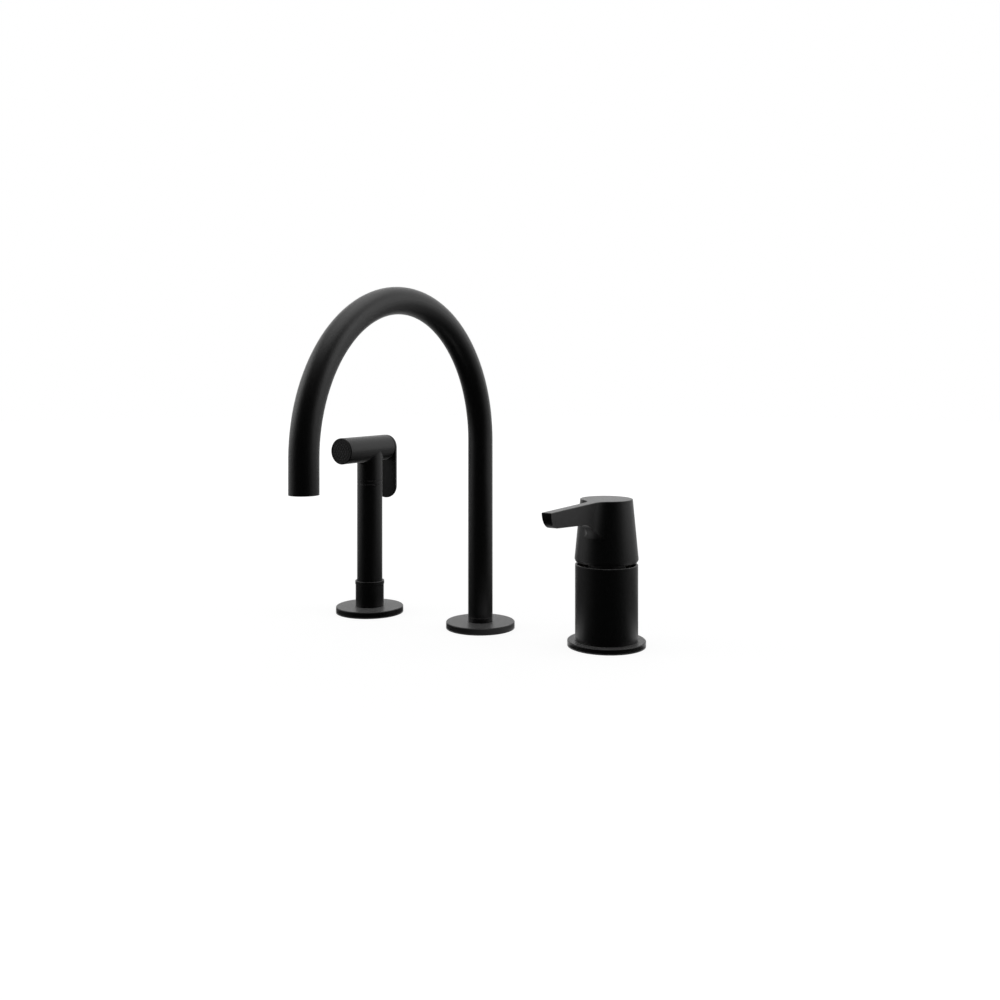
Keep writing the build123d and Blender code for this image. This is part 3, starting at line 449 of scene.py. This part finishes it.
for name, (radius, low, high) in thread["shanks"].items():
    lowest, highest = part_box(name)
    axis = Vector(((lowest[0] + highest[0]) / 2, (lowest[1] + highest[1]) / 2, 0))
    shape = bmesh.new()
    shape.from_mesh(nodes[name].data)
    bmesh.ops.remove_doubles(shape, verts=shape.verts[:], dist=thread["mergeWithin"] / 4)
    for height in (low, high):
        bmesh.ops.bisect_plane(
            shape, geom=everything(shape), plane_co=(0, 0, height), plane_no=(0, 0, 1),
        )
    wall = []  # the plain outer wall that the thread takes the place of
    for face in shape.faces:
        middle = face.calc_center_median()
        if low < middle.z < high and (middle - axis).xy.length > radius - thread["depth"]:
            wall.append(face)
    bmesh.ops.delete(shape, geom=wall, context="FACES")
    strip = threadStrip(axis, radius, low, high)
    loose = bpy.data.meshes.new("looseThread")
    strip.to_mesh(loose)
    strip.free()
    shape.from_mesh(loose)
    bpy.data.meshes.remove(loose)
    for end, inside in ((low, low + thread["lead"]), (high, high - thread["lead"])):
        bmesh.ops.bridge_loops(shape, edges=openEdges(shape, end) + openEdges(shape, inside))
    bmesh.ops.recalc_face_normals(shape, faces=shape.faces[:])
    gaps = sum(edge.is_boundary for edge in shape.edges)
    print(name, "threaded,", len(shape.faces), "faces, open edges", gaps)
    finishedPiece(name + "_threaded", shape, name)


def stagePiece(name, shape, finish):
    mesh = bpy.data.meshes.new(name)
    shape.to_mesh(mesh)
    shape.free()
    mesh.materials.append(finish)
    made = bpy.data.objects.new(name, mesh)
    scene.collection.objects.link(made)
    return made


# white where the camera looks, a plain pale floor for the light, and clear from below
deck = {
    "reach": 4.0,
    "sides": 96,
    "colour": (0.8, 0.8, 0.8, 1),
    "white": 1.12,
    "shadowShare": 0.22,
    "shadowFrom": 0.25,
    "shadowTo": 0.9,
}


def deckFinish():
    made = newFinish("deck")
    behind = made.node("ShaderNodeNewGeometry", output=6)
    away = made.distance(made.place())
    fade = made.smooth(away, deck["shadowFrom"], deck["shadowTo"], 1 - deck["shadowShare"], 1.0)
    lit = made.node("ShaderNodeBsdfDiffuse", values={"Color": deck["colour"]})
    white = made.node("ShaderNodeEmission", values={"Color": (1, 1, 1, 1), "Strength": deck["white"]})
    front = made.mix(made.looking() * fade, lit, white)
    return made.surface(made.mix(behind, front, made.node("ShaderNodeBsdfTransparent")))


shape = bmesh.new()
bmesh.ops.create_circle(shape, cap_ends=True, segments=deck["sides"], radius=deck["reach"])
stagePiece("deck", shape, deckFinish())
print("deck laid")


# painted dark reflection: a black card on the deck and a black wall round the camera, which thin out to
# both sides and which only gloss sees, so that reflections turn black; angles are in degrees from the way
# to the camera
paintedReflection = {
    "middle": (-0.154, 0.198, 0.0),
    "dark": 40.0,
    "end": 85.0,
    "skew": 5.0,
    "wallDistance": 1.9,
    "wallHeight": 3.0,
    "wallSteps": 60,
    "wallClear": 1.0,
    "cardReach": 1.9,
    "cardSides": 96,
    "cardRise": 0.001,
    "cardFrom": 0.1,
    "cardTo": 0.2,
    "cardClear": 0.35,
    "clearUnits": ("mixer_flange",),  # the card's painted dark reflection is cleared beside these, so gloss there sees the white deck
    "besideFrom": (68.0, 88.0),
    "besideTo": (110.0, 135.0),
    "besideReach": (0.06, 0.14),
}


def turnAndReach(darkReflection, middle):
    towards = (-view["ahead"][0], -view["ahead"][1], 0)
    sideways = (-towards[1], towards[0], 0)
    place = darkReflection.place(shift=[-value for value in middle])
    turn = darkReflection.along(place, sideways).angleFrom(darkReflection.along(place, towards))
    turn = turn + math.radians(paintedReflection["skew"])
    return turn.size() * (180 / math.pi), darkReflection.distance(place)


def darkReflectionFinish(name, clearest, units=()):
    darkReflection = newFinish(name)
    turn = turnAndReach(darkReflection, paintedReflection["middle"])[0]
    away = darkReflection.distance(darkReflection.place())
    far = darkReflection.smooth(away, paintedReflection["cardFrom"], paintedReflection["cardTo"], 0.0, clearest)
    clearness = darkReflection.smooth(turn, paintedReflection["dark"], paintedReflection["end"], 0.0, 1.0) * far
    # painted reflection: the black card turns clear in a sector beside each unit, so the gloss of the parts
    # there turns pale
    for unit in units:
        turn, reach = turnAndReach(darkReflection, unit)
        begin = darkReflection.smooth(turn, *paintedReflection["besideFrom"], 0.0, 1.0)
        end = darkReflection.smooth(turn, *paintedReflection["besideTo"], 1.0, 0.0)
        near = darkReflection.smooth(reach, *paintedReflection["besideReach"], 1.0, 0.0)
        clearness = clearness.largest(begin * end * near)
    # painted dark reflection: black that only gloss sees
    black = darkReflection.node("ShaderNodeBsdfDiffuse", values={"Color": (0, 0, 0, 1)})
    return darkReflection.surface(darkReflection.mix(clearness, black, darkReflection.node("ShaderNodeBsdfTransparent")))


shape = bmesh.new()
toCamera = math.atan2(-view["ahead"][1], -view["ahead"][0])
start = toCamera - math.radians(paintedReflection["end"])
middle = Vector(paintedReflection["middle"])
foot = middle + Vector((math.cos(start), math.sin(start), 0)) * paintedReflection["wallDistance"]
post = [shape.verts.new(foot), shape.verts.new(foot + Vector((0, 0, paintedReflection["wallHeight"])))]
shape.edges.new(post)
bmesh.ops.spin(
    shape, geom=shape.verts[:] + shape.edges[:], cent=middle, axis=(0, 0, 1),
    angle=math.radians(2 * paintedReflection["end"]), steps=paintedReflection["wallSteps"],
)
wall = stagePiece("darkReflectionWall", shape, darkReflectionFinish("wallDarkReflection", paintedReflection["wallClear"]))
shape = bmesh.new()
bmesh.ops.create_circle(shape, cap_ends=True, segments=paintedReflection["cardSides"], radius=paintedReflection["cardReach"])
bmesh.ops.translate(shape, verts=shape.verts[:], vec=(0, 0, paintedReflection["cardRise"]))
units = [[sum(ends) / 2 for ends in zip(*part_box(name))][:2] + [0] for name in paintedReflection["clearUnits"]]
card = stagePiece("darkReflectionCard", shape, darkReflectionFinish("cardDarkReflection", paintedReflection["cardClear"], units))
# the painted dark reflection is hidden from the camera, from the light that falls on things and from
# shadows
for piece in (wall, card):
    piece.visible_camera = False
    piece.visible_diffuse = False
    piece.visible_shadow = False
    piece.visible_transmission = False
print("black wall and card stand")


skyLight = {
    "seen": 1.0,
    "onObject": 0.45,
}
scene.world = bpy.data.worlds.new("sky")
sky = Finish(scene.world)
strength = sky.looking() * (skyLight["seen"] - skyLight["onObject"]) + skyLight["onObject"]
background = sky.node("ShaderNodeBackground", values={"Color": (1, 1, 1, 1), "Strength": strength})
sky.surface(background, "ShaderNodeOutputWorld")

lamps = {
    "aim": (0, -0.06, 0.1),
    "left": {"spot": (-1.5, -0.7, 0.9), "width": 1.1, "power": 5.0},
    "right": {"spot": (1.5, 0.6, 0.9), "width": 1.1, "power": 5.0},
    "top": {"spot": (0.0, 0.1, 1.9), "width": 1.6, "power": 9.0},
}
for name in ("left", "right", "top"):
    light = bpy.data.lights.new(name + "Lamp", "AREA")
    light.shape = "SQUARE"
    light.size = lamps[name]["width"]
    light.energy = lamps[name]["power"]
    lamp = bpy.data.objects.new(name + "Lamp", light)
    lamp.location = lamps[name]["spot"]
    ray = Vector(lamps["aim"]) - lamp.location
    lamp.rotation_euler = ray.to_track_quat("-Z", "Y").to_euler()
    scene.collection.objects.link(lamp)
print("studio lit")
